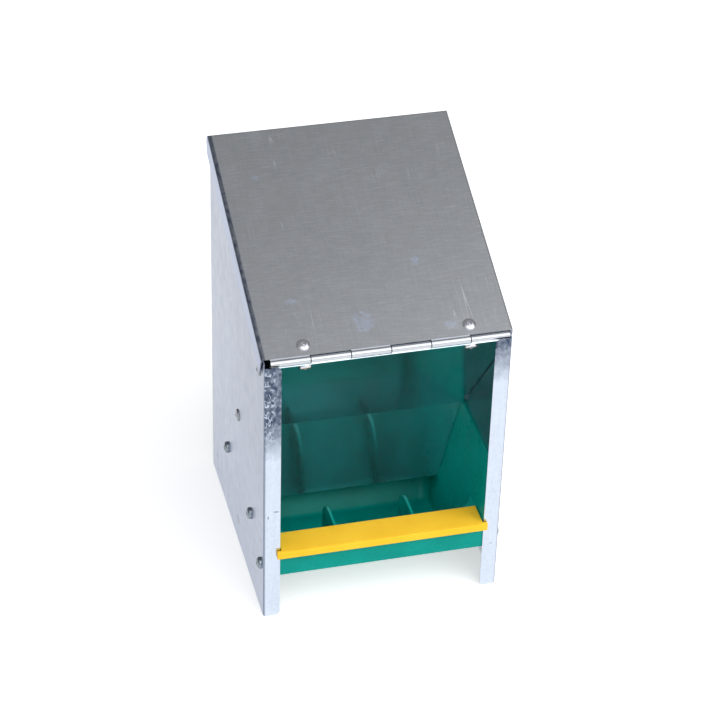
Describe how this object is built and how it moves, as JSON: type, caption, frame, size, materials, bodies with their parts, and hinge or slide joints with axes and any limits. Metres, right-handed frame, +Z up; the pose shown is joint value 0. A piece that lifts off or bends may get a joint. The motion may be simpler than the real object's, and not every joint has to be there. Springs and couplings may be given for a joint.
{
  "type": "grit feeder",
  "caption": "Galvanised poultry grit feeder with a sloping hinged lid, a bent hopper plate, a green moulded feed tray and a yellow edge strip.",
  "frame": {"origin": "centre of the footprint, on the ground under the feeder", "axes": "+Z up, -Y towards the birds at the feeding side, +X to the right seen from there"},
  "size_m": [0.192, 0.2048, 0.3138],
  "materials": {
    "galvanised_sheet": "galvanised, fine spangle",
    "hinge_steel": "bright plated",
    "rivet_aluminium": "satin",
    "screw_steel": "bright zinc plated",
    "green_plastic": "moulded, satin",
    "yellow_plastic": "moulded, satin"
  },
  "bodies": {
    "housing": {"housing": "galvanised_sheet", "hopper_plate": "galvanised_sheet", "feed_tray": "green_plastic", "edge_strip": "yellow_plastic", "body_hinge_leaf": "hinge_steel", "hinge_pin": "hinge_steel", "leaf_rivet_left": "rivet_aluminium", "plate_rivet_left_upper": "rivet_aluminium", "plate_rivet_left_lower": "rivet_aluminium", "tray_screw_left_front": "screw_steel", "tray_screw_left_middle": "screw_steel", "tray_screw_left_rear": "screw_steel", "leaf_rivet_right": "rivet_aluminium", "plate_rivet_right_upper": "rivet_aluminium", "plate_rivet_right_lower": "rivet_aluminium", "tray_screw_right_front": "screw_steel", "tray_screw_right_middle": "screw_steel", "tray_screw_right_rear": "screw_steel"},
    "lid": {"lid": "galvanised_sheet", "lid_hinge_leaf": "hinge_steel", "lid_rivet_left": "rivet_aluminium", "lid_rivet_right": "rivet_aluminium"}
  },
  "joints": [
    {"name": "lid_hinge", "type": "hinge", "parent": "housing", "child": "lid", "pos_m": [0, -0.09478, 0.2368], "axis": [1, 0, 0], "range_deg": [0, 110]}
  ]
}
